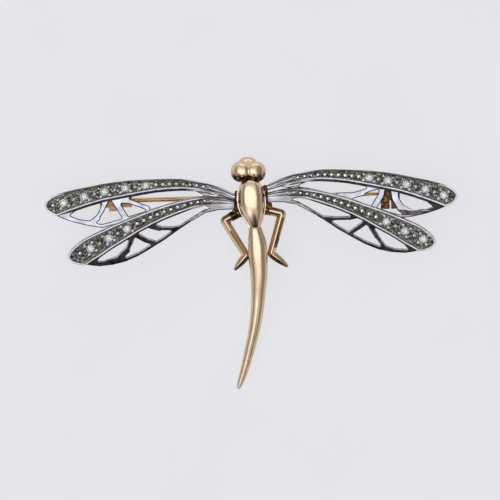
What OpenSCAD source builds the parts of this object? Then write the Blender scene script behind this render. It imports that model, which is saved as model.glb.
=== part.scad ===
// Dragonfly brooch, lying face up on its pin finding and the tip of its abdomen.
// +Z is up, +Y points to the head, X runs along the wings. Millimetres.

/* [Thorax] */
// Length of the egg-shaped dome of the thorax
thorax_len = 7.6; // [6.8:0.1:8.4]
// Greatest width of the dome
thorax_w = 3.9; // [3.5:0.1:4.3]
// Height of the dome above the ledge
thorax_h = 2.1; // [1.6:0.1:2.8]
// How far the ledge stands out past the dome
ledge_w = 0.34; // [0.2:0.02:0.5]
// Thickness of the ledge above the flat back
ledge_h = 1.7; // [1.4:0.1:2.2]
// Height of the flat back of the body and the wings above the table
back_z = 3.2; // [3:0.1:3.8]

/* [Head] */
// Width of one eye
eye_w = 2.9; // [2.5:0.1:3.2]
// Length of one eye from front to rear
eye_len = 3.2; // [2.8:0.1:3.5]
// Height of one eye
eye_h = 3.7; // [3:0.1:4.2]
// Distance between the middles of the two eyes
eye_pitch = 2.63; // [2.3:0.05:2.8]
// Radius of the face in front of the eyes
face_r = 1.25; // [1:0.05:1.4]

/* [Abdomen] */
// Length of the abdomen from the waist to the tip
abdomen_len = 24.1; // [22:0.1:26]
// Greatest width of the abdomen
abdomen_w = 2.92; // [2.5:0.02:3.3]
// Greatest thickness of the abdomen
abdomen_t = 2.2; // [1.8:0.1:2.6]
// How far the tip swings to the left of the waist
abdomen_sway = 2.55; // [1.5:0.05:3.5]

/* [Legs] */
// Thickness of the legs
leg_w = 1.34; // [1.1:0.02:1.5]
// Length of the upper leg, from the hip to the knee
femur_len = 2.75; // [2.5:0.05:3]
// Length of the lower leg, from the knee to the foot
tibia_len = 6.2; // [5.8:0.1:6.6]
// Length of the foot
foot_len = 2.8; // [2.3:0.1:3.2]

/* [Wings] */
// Length of a forewing from root to tip
fore_len = 28.5; // [27:0.1:30]
// Greatest width of a forewing's channel band
fore_band_w = 3.25; // [2.9:0.05:3.6]
// Greatest width of a forewing's pierced blade
fore_blade_w = 4.1; // [3.8:0.05:4.4]
// Length of a hindwing from root to tip
hind_len = 24.6; // [23.5:0.1:26]
// Greatest width of a hindwing's channel band
hind_band_w = 3.95; // [3.6:0.05:4.3]
// Greatest width of a hindwing's pierced blade
hind_blade_w = 3.75; // [3.5:0.05:4.1]
// Thickness of the pierced blade
blade_t = 0.8; // [0.6:0.05:0.9]
// Height of the channel floor above the back of the wing
floor_t = 1.05; // [0.95:0.05:1.2]
// Height of the rims above the back of the wing
rim_t = 1.45; // [1.35:0.05:1.7]
// Width of the rims on both sides of the channel
rim_w = 0.26; // [0.2:0.02:0.36]
// Width of the skirt under the lower rim
skirt_w = 0.3; // [0.2:0.02:0.4]
// Width of the trailing rim
trail_w = 0.58; // [0.45:0.01:0.7]
// Width of a common vein of the blade
vein_w = 0.8; // [0.7:0.02:0.9]
// Radius of the corners of the piercings
pierce_r = 0.14; // [0.1:0.01:0.2]
// Lean of the hindwings, leading edge up, in degrees
hind_lean = 9; // [6:1:11]
// Gap between a wing and the metal that it is soldered to
solder_gap = 0.08; // [0.05:0.01:0.12]

/* [Stones] */
// Diameter of a diamond
stone_d = 1.4; // [1.2:0.05:1.5]
// Height of a diamond from culet to table
stone_h = 0.84; // [0.7:0.02:0.9]
// Distance between stones on the left forewing
stone_pitch_fore_left = 3.08; // [2.9:0.02:3.1]
// Distance between stones on the right forewing
stone_pitch_fore_right = 2.8; // [2.7:0.02:2.9]
// Distance between stones on the hindwings
stone_pitch_hind = 2.75; // [2.6:0.05:2.9]
// Diameter of a setting grain
grain_d = 0.56; // [0.4:0.02:0.6]
// Distance between the grains of the single row
grain_pitch = 1.02; // [0.9:0.02:1.2]
// Clearance between a stone and its seat
seat_gap = 0.03; // [0.02:0.01:0.05]

/* [Pin finding] */
// Distance from the hinge rivet to the middle of the catch
pin_span = 41.4; // [40:0.1:42]
// Diameter of the pin stem
stem_d = 0.7; // [0.6:0.02:0.8]
// Length of the pin's point
point_len = 5.2; // [4:0.1:6]
// Diameter of the hinge rivet
rivet_d = 0.7; // [0.6:0.02:0.8]
// Running clearance round the rivet and beside the eye of the pin
run_gap = 0.04; // [0.03:0.01:0.06]
// Thickness of each hinge ear
ear_t = 0.5; // [0.4:0.05:0.6]
// Thickness of the eye of the pin
eye_t = 0.7; // [0.6:0.05:0.9]
// Outer radius of the hook of the catch
hook_r = 1.05; // [1:0.01:1.15]
// Length of the hook of the catch
hook_len = 2; // [1.6:0.1:2.4]
// Wall of the hook of the catch
hook_t = 0.42; // [0.36:0.02:0.46]
// Width of the mouth of the hook
mouth_w = 0.62; // [0.54:0.02:0.72]
// Thickness of the two soldered plates
plate_t = 0.4; // [0.3:0.05:0.5]

/* [Hidden] */
// Row of a thorax section: share of the length, side shift, width share, height share
THORAX = [
    [-0.02, -0.06, 0.30, 0.10],
    [0.01, -0.04, 0.56, 0.34],
    [0.04, -0.02, 0.72, 0.54],
    [0.13,  0.00, 0.90, 0.80],
    [0.26,  0.02, 0.98, 0.95],
    [0.42,  0.04, 1.00, 1.00],
    [0.56,  0.10, 0.97, 0.97],
    [0.68,  0.22, 0.87, 0.86],
    [0.79,  0.36, 0.70, 0.70],
    [0.90,  0.52, 0.50, 0.50],
    [0.97,  0.62, 0.36, 0.34],
    [1.00,  0.65, 0.24, 0.22],
];
// Row of a ledge section: share of the thorax length, side shift, width share
LEDGE = [
    [-0.03, -0.12, 0.45],
    [0.06, -0.08, 0.80],
    [0.18, -0.04, 0.96],
    [0.42,  0.02, 1.00],
    [0.58,  0.10, 0.95],
    [0.72,  0.26, 0.80],
    [0.86,  0.44, 0.58],
    [1.02,  0.66, 0.46],
    [1.30,  0.96, 0.66],
    [1.62,  1.12, 0.50],
    [1.72,  1.14, 0.30],
];
// Row of an abdomen section: share of the length, side place as a share of the sway,
// width share, thickness share, height of its middle as a share of the drop
ABDOMEN = [
    [-0.015,  0.01, 0.46, 0.45, 1.00],
    [0.00,  0.00, 0.69, 0.82, 1.00],
    [0.10,  0.12, 0.96, 0.97, 1.00],
    [0.18,  0.15, 1.00, 1.00, 0.97],
    [0.29,  0.21, 0.89, 0.92, 0.90],
    [0.38,  0.18, 0.78, 0.84, 0.82],
    [0.50,  0.11, 0.69, 0.76, 0.67],
    [0.63, -0.06, 0.62, 0.70, 0.47],
    [0.75, -0.32, 0.55, 0.63, 0.27],
    [0.88, -0.64, 0.45, 0.53, 0.09],
    [0.96, -0.88, 0.35, 0.42, 0.00],
    [1.00, -1.00, 0.16, 0.20, 0.00],
];
// Row of a wing section: share of the length, height of the band's middle as a share of
// the wing's rise or drop, band width share, blade width share
FORE = [
    [0.000, -0.31, 0.20, 0.05],
    [0.070,  0.28, 0.26, 0.09],
    [0.140,  0.63, 0.35, 0.27],
    [0.210,  0.87, 0.39, 0.42],
    [0.280,  1.00, 0.44, 0.55],
    [0.350,  0.99, 0.48, 0.67],
    [0.420,  0.90, 0.52, 0.77],
    [0.490,  0.76, 0.60, 0.85],
    [0.560,  0.58, 0.68, 0.91],
    [0.630,  0.37, 0.73, 0.97],
    [0.700,  0.12, 0.76, 1.00],
    [0.770, -0.22, 0.81, 0.79],
    [0.840, -0.59, 0.90, 0.51],
    [0.900, -0.96, 0.96, 0.22],
    [0.937, -1.22, 1.00, 0.00],
    [0.960, -1.24, 0.84, 0.00],
    [0.982, -1.26, 0.58, 0.00],
    [0.994, -1.23, 0.34, 0.00],
    [1.000, -1.20, 0.08, 0.00],
];
HIND = [
    [-0.024, 0.03, 0.11, 0.24],
    [0.080, -0.01, 0.24, 0.28],
    [0.160, -0.01, 0.29, 0.37],
    [0.240,  0.03, 0.35, 0.55],
    [0.325,  0.10, 0.42, 0.71],
    [0.405,  0.18, 0.47, 0.88],
    [0.490,  0.28, 0.54, 0.97],
    [0.570,  0.39, 0.61, 1.00],
    [0.650,  0.51, 0.72, 0.91],
    [0.730,  0.63, 0.81, 0.73],
    [0.810,  0.77, 0.92, 0.42],
    [0.855,  0.84, 0.96, 0.22],
    [0.895,  0.91, 1.00, 0.00],
    [0.930,  0.94, 0.84, 0.00],
    [0.965,  0.97, 0.60, 0.00],
    [0.988,  0.985, 0.34, 0.00],
    [1.000,  1.00, 0.06, 0.00],
];
// Row of a vein: start along the wing and across the blade, end along and across, width share
FORE_LEFT_VEINS = [
    [0.680, 0.06, 0.705, 0.40, 0.97],
    [0.705, 0.40, 0.725, 0.64, 0.87],
    [0.725, 0.64, 0.760, 0.88, 1.12],
    [0.760, 0.88, 0.815, 0.90, 1.12],
    [0.815, 0.90, 0.870, 0.74, 0.95],
    [0.635, 0.08, 0.575, 0.88, 1.20],
    [0.620, 0.12, 0.560, 0.24, 1.00],
    [0.560, 0.24, 0.520, 0.42, 0.92],
    [0.520, 0.42, 0.460, 0.73, 0.87],
];
FORE_RIGHT_VEINS = [
    [0.665, -0.06, 0.675, 0.32, 1.40],
    [0.675, 0.32, 0.705, 0.62, 1.35],
    [0.705, 0.62, 0.760, 0.88, 1.57],
    [0.760, 0.88, 0.825, 0.90, 1.35],
    [0.825, 0.90, 0.890, 0.74, 1.00],
    [0.605, 0.04, 0.600, 0.30, 1.17],
    [0.600, 0.30, 0.555, 0.94, 1.17],
    [0.575, 0.04, 0.540, 0.16, 1.02],
    [0.540, 0.16, 0.500, 0.38, 0.90],
    [0.500, 0.40, 0.435, 0.68, 1.22],
    [0.435, 0.68, 0.375, 0.84, 1.42],
];
HIND_LEFT_VEINS = [
    [0.595, -0.04, 0.620, 0.30, 0.97],
    [0.620, 0.30, 0.640, 0.54, 0.85],
    [0.640, 0.54, 0.700, 0.80, 1.17],
    [0.700, 0.80, 0.765, 0.86, 1.30],
    [0.765, 0.86, 0.820, 0.76, 1.02],
    [0.585, 0.10, 0.525, 0.54, 0.95],
    [0.525, 0.54, 0.470, 0.88, 0.97],
    [0.500, 0.04, 0.440, 0.36, 1.05],
    [0.440, 0.36, 0.355, 0.74, 0.72],
    [0.355, 0.74, 0.310, 0.94, 0.80],
];
HIND_RIGHT_VEINS = [
    [0.595, 0.08, 0.640, 0.44, 0.90],
    [0.640, 0.44, 0.690, 0.84, 0.75],
    [0.690, 0.84, 0.770, 0.96, 0.92],
    [0.770, 0.96, 0.830, 0.92, 0.97],
    [0.580, 0.06, 0.530, 0.46, 0.95],
    [0.530, 0.46, 0.485, 0.82, 0.87],
    [0.530, 0.00, 0.480, 0.24, 0.75],
    [0.480, 0.24, 0.380, 0.62, 0.68],
    [0.380, 0.62, 0.330, 0.84, 0.82],
];
// Row of a leg: hip's side place as a share of the thorax's half width, its place along the
// thorax as a share of the length, then femur, tibia and foot turn in degrees
LEFT_LEG = [0.82, 0.655, 29, 30, 41];
RIGHT_LEG = [1.00, 0.609, 13.5, 15, 50];
// Ball of a leg: radius as a share of the leg's half thickness
HIP_R = 1.15;
KNEE_R = 1.00;
ANKLE_R = 0.86;
FOOT_R = 0.93;
TOE_R = 0.40;
// Ridge on the lower leg: rise and radius at the knee, rise and radius at the ankle
RIDGE = [0.35, 0.72, 0.40, 0.55];

// Sides of the round pieces of the head, thickness of the thin slices of a hull, and
// steps of the grid of the wing outlines in a millimetre
fine = 20;
slice = 0.02;
grid = 1024;

// How far the middle of a forewing's band rises, and a hindwing's band drops, over its length
fore_rise = 1.44;
hind_drop = -7.9;
// Places of the wing roots, from the middle of the thorax outwards
fore_root_x = thorax_w/2 + ledge_w + 1.5*solder_gap;
left_fore_root = [fore_root_x, thorax_len*0.187];
right_fore_root = [fore_root_x, thorax_len*0.375];
left_hind_root = [fore_root_x + 0.62, thorax_len*0.066];
right_hind_root = [fore_root_x + 0.5, thorax_len*0.2105];
// Turn of the hindwings in plan, in degrees
hind_turn = 1.3;
// Shares of the length between which a wing is pierced, and where its blade ends
pierced_from = [0.155, 0.12];
pierced_to = [0.885, 0.835];
tip_from = [0.937, 0.895];
// Distance of the last stone from the tip: forewings and hindwings, left and right
last_stone = [[2.78, 2.0], [3.4, 1.8]];
stone_count = [5, 3];
stone_sink = stone_h*0.62;
girdle_z = stone_h*0.7;
girdle_t = 0.06;
culet_d = stone_d*0.36;
// How far the straight wall of a seat reaches under the girdle
seat_drop = 0.1;

// Step from the skirt to the piercings
skirt_step = 0.04;
// Layers of a wing over the blade: the skirt, the channel floor and the rims
floor_h = 0.12;
skirt_h = floor_t - floor_h - blade_t;
rim_h = rim_t - floor_t;
floor_z = blade_t + skirt_h;
rim_z = floor_z + floor_h;

// Head, thorax and abdomen along the brooch
head_x = -0.43;
thorax_front = thorax_len*0.484;
head_y = thorax_front + eye_len*0.31;
face_y = head_y + eye_len/2 - face_r*0.35;
waist_x = 0.65;
waist_y = thorax_front - thorax_len + 0.05;
// Middle of the tip, whose lowest row lies on the table
tip_z = ABDOMEN[len(ABDOMEN) - 2][3]*abdomen_t/2;
waist_z = back_z + abdomen_t*0.72;
ledge_z = back_z + ledge_h;
// Steps of the ledge's rounded edges: at its foot, its side and its top
ledge_foot = ledge_h*0.18;
ledge_side = ledge_h*0.2;
ledge_top = ledge_h*0.1;
// How far the dome reaches down into the ledge
dome_sink = ledge_h*0.12;
leg_z = back_z + leg_w*0.55;
hind_z = back_z + blade_t + solder_gap;

// Line of the pin, and its height, at which the lips of the hook meet the table
hinge_x = -20.87;
hinge_y = 0.35;
pin_turn = 1.55;
pin_z = sqrt(hook_r*hook_r - mouth_w*mouth_w/4);
plate_top = back_z - solder_gap - pin_z;
// Hinge: eye of the pin, fork that holds it, rivet heads, plate and its tab
eye_r = pin_z*0.8;
fork_w = eye_t + 2*run_gap + 2*ear_t;
rivet_fit = 0.01;
rivet_head_d = rivet_d*1.5;
rivet_head_t = 0.18;
hinge_plate_rear = 1.85;
hinge_plate_len = 4.85;
hinge_plate_side = 1.05;
hinge_tab_rear = 0.5;
hinge_tab_len = 1.15;
hinge_tab_side = 1.6;
// Catch: plate under the wing and the slit in it
catch_plate_rear = 1.1;
catch_plate_len = 2.9;
catch_plate_side = 2.35;
catch_plate_w = 3.3;
slit_x = 0.25;
slit_w = 0.22;
slit_len = 1.25;

// Reach of the brooch, which puts its origin under the middle of its box
front_y = face_y + face_r*cos(180/fine);
rear_y = waist_y - abdomen_len;
mid_y = (front_y + rear_y)/2;

// Point on a smooth curve through four rows
function curve(a, b, c, d, t) =
    0.5*(2*b + (c - a)*t + (2*a - 5*b + 4*c - d)*t*t + (3*b - a - 3*c + d)*t*t*t);

// A list of rows with n smooth steps between each two
function smooth(rows, n) = concat(
    [for (i = [0:len(rows) - 2], k = [0:n - 1])
        curve(rows[max(i - 1, 0)], rows[i], rows[i + 1], rows[min(i + 2, len(rows) - 1)], k/n)],
    [rows[len(rows) - 1]]);

function reversed(points) = [for (i = [len(points) - 1:-1:0]) points[i]];

// Ring of a lofted body: an oval with its own upper and lower height
function ring(x, y, z, half_w, up, down, sides) =
    [for (i = [0:sides - 1]) let (a = 360*i/sides)
        [x + half_w*cos(a), y, z + (sin(a) > 0 ? up : down)*sin(a)]];

// Solid through rings that follow each other from front to rear
module loft(rings) {
    n = len(rings[0]);
    last = len(rings) - 1;
    points = [for (r = rings) each r];
    sides = [for (j = [0:last - 1], i = [0:n - 1])
        [j*n + i, (j + 1)*n + i, (j + 1)*n + (i + 1)%n, j*n + (i + 1)%n]];
    front = [[for (i = [0:n - 1]) i]];
    rear = [[for (i = [n - 1:-1:0]) last*n + i]];
    polyhedron(points = points, faces = concat(front, sides, rear));
}

// Wing figures: kind 0 is a forewing, kind 1 a hindwing
function wing_rows(kind) = kind == 0 ? FORE : HIND;
function wing_len(kind) = kind == 0 ? fore_len : hind_len;
function mid_at(kind, r) = r[1]*(kind == 0 ? fore_rise : hind_drop);
function band_at(kind, r) = r[2]*(kind == 0 ? fore_band_w : hind_band_w);
function blade_at(kind, r) = r[3]*(kind == 0 ? fore_blade_w : hind_blade_w);

// Outline points lie on a fine grid, so that the layers of a wing meet exactly
function on_grid(x, y) = [round(x*grid)/grid, round(y*grid)/grid];
function lead_pt(kind, r) = on_grid(r[0]*wing_len(kind), mid_at(kind, r) + band_at(kind, r)/2);
function low_pt(kind, r) = on_grid(r[0]*wing_len(kind), mid_at(kind, r) - band_at(kind, r)/2);
function trail_pt(kind, r) = let (p = low_pt(kind, r)) on_grid(p.x, p.y - blade_at(kind, r));

// Row at any share of the length
function row_at(kind, s) = let (rows = wing_rows(kind))
    [for (c = [0:3]) lookup(s, [for (r = rows) [r[0], r[c]]])];

// Point in the blade: 0 across is the band's lower edge, 1 the trailing edge
function blade_pt(kind, s, across) = let (r = row_at(kind, s))
    low_pt(kind, r) - [0, across*blade_at(kind, r)];

// Middle of the band at a distance x from the root
function band_mid(kind, x) = let (r = row_at(kind, x/wing_len(kind)))
    [x, mid_at(kind, r)];
function band_width(kind, x) = band_at(kind, row_at(kind, x/wing_len(kind)));
function band_turn(kind, x) = let (
    step = wing_len(kind)/50,
    d = band_mid(kind, x + step) - band_mid(kind, x - step)) atan2(d.y, d.x);

module band_outline(kind) {
    rows = wing_rows(kind);
    polygon(concat([for (r = rows) lead_pt(kind, r)], reversed([for (r = rows) low_pt(kind, r)])));
}

module blade_outline(kind) {
    rows = [for (r = wing_rows(kind)) if (r[0] <= tip_from[kind]) r];
    polygon(concat(
        [for (r = rows) lead_pt(kind, r) - [0, band_at(kind, r)*0.6]],
        reversed([for (r = rows) trail_pt(kind, r)])));
}

// Width of the skirt, which dies away at the tip and narrows towards the root
function skirt_at(kind, s) = skirt_w*min(1, (tip_from[kind] - s)/0.08, 0.3 + 2.2*s);

// Stretch of the blade that is pierced, inside its rims
module pierced_field(kind, from, to) {
    rows = [for (r = wing_rows(kind)) if (r[0] > from && r[0] < to) r];
    polygon(concat(
        [blade_pt(kind, from, 0.6)],
        [for (r = rows) low_pt(kind, r) - [0, skirt_at(kind, r[0]) + skirt_step]],
        [blade_pt(kind, to, 0.7)],
        reversed([for (r = rows) trail_pt(kind, r) + [0, trail_w]])));
}

// Band with the skirt that stands out under its lower rim
module skirt_outline(kind) {
    rows = [for (r = wing_rows(kind)) if (r[0] <= tip_from[kind]) r];
    polygon(concat(
        [for (r = rows) on_grid(r[0]*wing_len(kind), mid_at(kind, r))],
        reversed([for (r = rows) let (p = low_pt(kind, r))
            on_grid(p.x, p.y - skirt_at(kind, r[0]))])));
}

module vein(kind, v) {
    hull() {
        translate(blade_pt(kind, v[0], v[1])) circle(d = v[4]*vein_w, $fn = 12);
        translate(blade_pt(kind, v[2], v[3])) circle(d = v[4]*vein_w, $fn = 12);
    }
}

function veins(kind, side) = kind == 0 ?
    (side == 0 ? FORE_LEFT_VEINS : FORE_RIGHT_VEINS) :
    (side == 0 ? HIND_LEFT_VEINS : HIND_RIGHT_VEINS);

module piercings(kind, side) {
    offset(r = pierce_r, $fn = 16)
        offset(delta = -pierce_r)
            difference() {
                pierced_field(kind, pierced_from[kind], pierced_to[kind]);
                for (v = veins(kind, side)) vein(kind, v);
            }
}

// Raised grain: a small dome standing on the channel floor
module grain(d) {
    hull() {
        translate([0, 0, -floor_h/2]) cylinder(d = d*1.05, h = slice, $fn = 7);
        translate([0, 0, d*0.48]) cylinder(d = d*0.5, h = slice, $fn = 7);
    }
}

function stone_pitch(kind, side) = kind == 1 ? stone_pitch_hind :
    side == 0 ? stone_pitch_fore_left : stone_pitch_fore_right;

// Stones are numbered from the root, and their row is placed from the tip
function stone_x(kind, side, i) = wing_len(kind) - last_stone[kind][side]
    - (stone_count[kind] - 1 - i)*stone_pitch(kind, side);

// Puts children on the middle of the band, turned along it
module on_band(kind, x) {
    translate(concat(band_mid(kind, x), floor_t)) rotate(band_turn(kind, x)) children();
}

// Four grains hold each stone, one stands between two stones, and a row of smaller ones
// runs to the root
module grains(kind, side) {
    reach = stone_d*0.68;
    for (i = [0:stone_count[kind] - 1]) {
        x = stone_x(kind, side, i);
        half = min(band_width(kind, x)/2 - rim_w - grain_d*0.45, reach*0.75);
        along = sqrt(reach*reach - half*half);
        on_band(kind, x)
            for (a = [-1, 1], b = [-1, 1]) translate([a*along, b*half, 0]) grain(grain_d);
        if (i < stone_count[kind] - 1)
            on_band(kind, (x + stone_x(kind, side, i + 1))/2) grain(grain_d);
    }
    last = stone_x(kind, side, stone_count[kind] - 1);
    tip_x = min(last + reach + grain_d, wing_len(kind)*0.965);
    if (tip_x - last > reach + grain_d*0.8) on_band(kind, tip_x) grain(grain_d);
    first = stone_x(kind, side, 0) - reach - grain_d*0.9;
    steps = floor((first - wing_len(kind)*0.1)/grain_pitch);
    for (k = [0:steps]) {
        x = first - k*grain_pitch;
        on_band(kind, x) grain(min(grain_d*1.06, (band_width(kind, x) - 2*rim_w)*0.62));
    }
}

// Eight-flat seat under each stone, drilled through to the back
module seats(kind, side) {
    for (i = [0:stone_count[kind] - 1]) {
        on_band(kind, stone_x(kind, side, i)) translate([0, 0, -stone_sink]) rotate(22.5) {
            translate([0, 0, girdle_z - seat_drop])
                cylinder(d = stone_d + 2*seat_gap, h = stone_h, $fn = 8);
            hull() {
                translate([0, 0, girdle_z - seat_drop])
                    cylinder(d = stone_d + 2*seat_gap, h = slice, $fn = 8);
                translate([0, 0, -slice]) cylinder(d = culet_d, h = slice, $fn = 8);
            }
            translate([0, 0, -floor_t]) cylinder(d = culet_d, h = floor_t + slice, $fn = 8);
        }
    }
}

// Wing casting in its own plane, root at the origin, tip towards +X, back at zero
module wing_casting(kind, side) {
    difference() {
        union() {
            linear_extrude(blade_t) difference() {
                union() {
                    blade_outline(kind);
                    band_outline(kind);
                }
                piercings(kind, side);
            }
            translate([0, 0, blade_t]) linear_extrude(skirt_h) union() {
                skirt_outline(kind);
                band_outline(kind);
            }
            translate([0, 0, floor_z]) linear_extrude(floor_h) band_outline(kind);
            translate([0, 0, rim_z]) linear_extrude(rim_h) difference() {
                band_outline(kind);
                offset(delta = -rim_w) band_outline(kind);
            }
            grains(kind, side);
        }
        seats(kind, side);
    }
}

// Cut diamond: flat table, eight crown facets, girdle and eight pavilion facets
module diamond() {
    hull() {
        cylinder(d = stone_d*0.06, h = slice, $fn = 8);
        translate([0, 0, girdle_z - girdle_t/2]) cylinder(d = stone_d, h = girdle_t, $fn = 8);
        translate([0, 0, stone_h - slice]) cylinder(d = stone_d*0.58, h = slice, $fn = 8);
    }
}

// Places a wing or what lies on it; side 0 is left, side 1 right
module on_wing(kind, side) {
    left_root = kind == 0 ? left_fore_root : left_hind_root;
    right_root = kind == 0 ? right_fore_root : right_hind_root;
    root = side == 0 ? left_root : right_root;
    turn = kind == 0 ? 0 : side == 0 ? -hind_turn : hind_turn;
    chord = atan2(hind_drop, hind_len);
    mirror([side == 0 ? 1 : 0, 0, 0])
        translate([root.x, root.y - mid_y, kind == 0 ? back_z : hind_z])
            rotate(turn)
                rotate(a = kind == 0 ? 0 : hind_lean, v = [cos(chord), sin(chord), 0])
                    children();
}

module wing(kind, side) {
    color("silver") on_wing(kind, side) wing_casting(kind, side);
}

module wing_diamond(kind, side, i) {
    color("white") on_wing(kind, side)
        on_band(kind, stone_x(kind, side, i))
            translate([0, 0, -stone_sink]) rotate(22.5) diamond();
}

module thorax() {
    rows = smooth(THORAX, 2);
    loft([for (r = rows) ring(r[1], thorax_front - r[0]*thorax_len, ledge_z - dome_sink,
        r[2]*thorax_w/2, r[3]*thorax_h + dome_sink, 2*dome_sink, 16)]);
}

module ledge() {
    rows = smooth(LEDGE, 2);
    half = thorax_w/2 + ledge_w;
    loft([for (r = rows) let (y = thorax_front - r[0]*thorax_len, w = r[2]*half)
        [[r[1] - w*0.94, y, back_z], [r[1] + w*0.94, y, back_z],
         [r[1] + w, y, back_z + ledge_foot], [r[1] + w, y, ledge_z - ledge_side],
         [r[1] + w*0.93, y, ledge_z - ledge_top], [r[1] + w*0.8, y, ledge_z],
         [r[1] - w*0.8, y, ledge_z], [r[1] - w*0.93, y, ledge_z - ledge_top],
         [r[1] - w, y, ledge_z - ledge_side], [r[1] - w, y, back_z + ledge_foot]]]);
}

module abdomen() {
    rows = smooth(ABDOMEN, 2);
    drop = waist_z - tip_z;
    loft([for (r = rows) let (half_t = max(r[3], 0.02)*abdomen_t/2)
        ring(waist_x + r[1]*abdomen_sway, waist_y - r[0]*abdomen_len,
            max(tip_z + r[4]*drop, half_t), r[2]*abdomen_w/2, half_t, half_t, 16)]);
}

module ball(place, r) {
    translate(place) sphere(r = r, $fn = 9);
}

// One leg: upper leg, ridged lower leg and a tapered foot
module leg(side, row) {
    r = leg_w/2;
    hip = [row[0]*thorax_w/2, thorax_front - row[1]*thorax_len, leg_z + leg_w*0.11];
    knee = hip + femur_len*[cos(row[2]), -sin(row[2]), 0];
    ankle = knee + tibia_len*[-sin(row[3]), -cos(row[3]), 0];
    toe = ankle + foot_len*[sin(row[4]), -cos(row[4]), -0.08];
    mirror([side == 0 ? 1 : 0, 0, 0]) {
        hull() {
            ball(hip, r*HIP_R);
            ball(knee, r*KNEE_R);
        }
        hull() {
            ball(knee, r*KNEE_R);
            ball(ankle, r*ANKLE_R);
        }
        hull() {
            ball(knee + [0, 0, r*RIDGE[0]], r*RIDGE[1]);
            ball(ankle + [0, 0, r*RIDGE[2]], r*RIDGE[3]);
        }
        hull() {
            ball(ankle, r*ANKLE_R);
            ball(ankle + 0.4*(toe - ankle), r*FOOT_R);
            ball(toe, r*TOE_R);
        }
    }
}

module eye_ball(side) {
    translate([head_x + side*eye_pitch/2, head_y, back_z + eye_h/2])
        scale([eye_w/2, eye_len/2, eye_h/2]) sphere(r = 1, $fn = fine);
}

module head() {
    eye_ball(-1);
    eye_ball(1);
    translate([head_x, head_y + eye_len*0.07, back_z + eye_h*0.45])
        scale([eye_w*0.4, eye_len*0.4, eye_h*0.42]) sphere(r = 1, $fn = fine);
    translate([head_x - 0.1, face_y, back_z + eye_h*0.42])
        scale([1, 1, 1.05]) sphere(r = face_r, $fn = fine);
    translate([head_x + 0.05, head_y - eye_len*0.3, back_z])
        cylinder(d = eye_w*0.95, h = eye_h*0.55, $fn = fine);
}

module body() {
    color("gold") translate([0, -mid_y, 0]) {
        head();
        thorax();
        ledge();
        abdomen();
        leg(0, LEFT_LEG);
        leg(1, RIGHT_LEG);
    }
}

// Line of the pin: origin on the rivet, +X towards the catch
module on_pin_line() {
    translate([hinge_x, hinge_y - mid_y, pin_z]) rotate(pin_turn) children();
}

module cross_bore(d, length) {
    rotate([90, 0, 0]) cylinder(d = d, h = length, center = true, $fn = 32);
}

module hinge_base() {
    color("goldenrod") on_pin_line() difference() {
        union() {
            translate([-hinge_plate_rear, -hinge_plate_side, plate_top - plate_t])
                cube([hinge_plate_len, hinge_plate_side + fork_w/2, plate_t]);
            translate([-hinge_tab_rear, -hinge_tab_side, plate_top - plate_t])
                cube([hinge_tab_len, hinge_tab_side, plate_t]);
            intersection() {
                union() {
                    cross_bore(2*pin_z, fork_w);
                    translate([-pin_z, -fork_w/2, 0]) cube([2*pin_z, fork_w, plate_top - plate_t/2]);
                }
                translate([-pin_z, -fork_w/2, -pin_z]) cube([2*pin_z, fork_w, 2*pin_z + back_z]);
            }
        }
        translate([-2*pin_z, -eye_t/2 - run_gap, -2*pin_z])
            cube([4*pin_z, eye_t + 2*run_gap, 3*pin_z + run_gap]);
        cross_bore(rivet_d + 2*rivet_fit, 2*fork_w);
    }
}

module hinge_rivet() {
    color("goldenrod") on_pin_line() {
        cross_bore(rivet_d, fork_w + 4*rivet_fit);
        for (s = [-1, 1])
            translate([0, s*(fork_w/2 + rivet_fit + rivet_head_t/2), 0])
                cross_bore(rivet_head_d, rivet_head_t);
    }
}

module pin_stem() {
    straight = pin_span + hook_len/2 - point_len;
    color("goldenrod") on_pin_line() difference() {
        union() {
            cross_bore(2*eye_r, eye_t);
            rotate([0, 90, 0]) cylinder(d = stem_d, h = straight, $fn = 32);
            translate([straight, 0, 0]) rotate([0, 90, 0])
                cylinder(d1 = stem_d, d2 = stem_d*0.3, h = point_len, $fn = 32);
        }
        cross_bore(rivet_d + 2*run_gap, 2*eye_t);
    }
}

module pin_bore(r, length) {
    rotate([0, 90, 0]) cylinder(r = r, h = length, center = true, $fn = 48);
}

module catch_body() {
    color("goldenrod") on_pin_line() translate([pin_span, 0, 0]) difference() {
        union() {
            pin_bore(hook_r, hook_len);
            translate([-hook_len/2, -hook_r*0.7, 0])
                cube([hook_len, hook_r*1.4, plate_top - plate_t/2]);
            translate([-catch_plate_rear, -catch_plate_side, plate_top - plate_t])
                cube([catch_plate_len, catch_plate_w, plate_t]);
        }
        pin_bore(hook_r - hook_t, 2*hook_len);
        translate([-hook_len, -mouth_w/2, -2*hook_r]) cube([2*hook_len, mouth_w, 2*hook_r]);
        translate([slit_x, -catch_plate_side - slit_w, plate_top - 1.5*plate_t])
            cube([slit_w, slit_len + slit_w, 2*plate_t]);
    }
}

module forewing_left() { wing(0, 0); }
module forewing_right() { wing(0, 1); }
module hindwing_left() { wing(1, 0); }
module hindwing_right() { wing(1, 1); }

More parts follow.
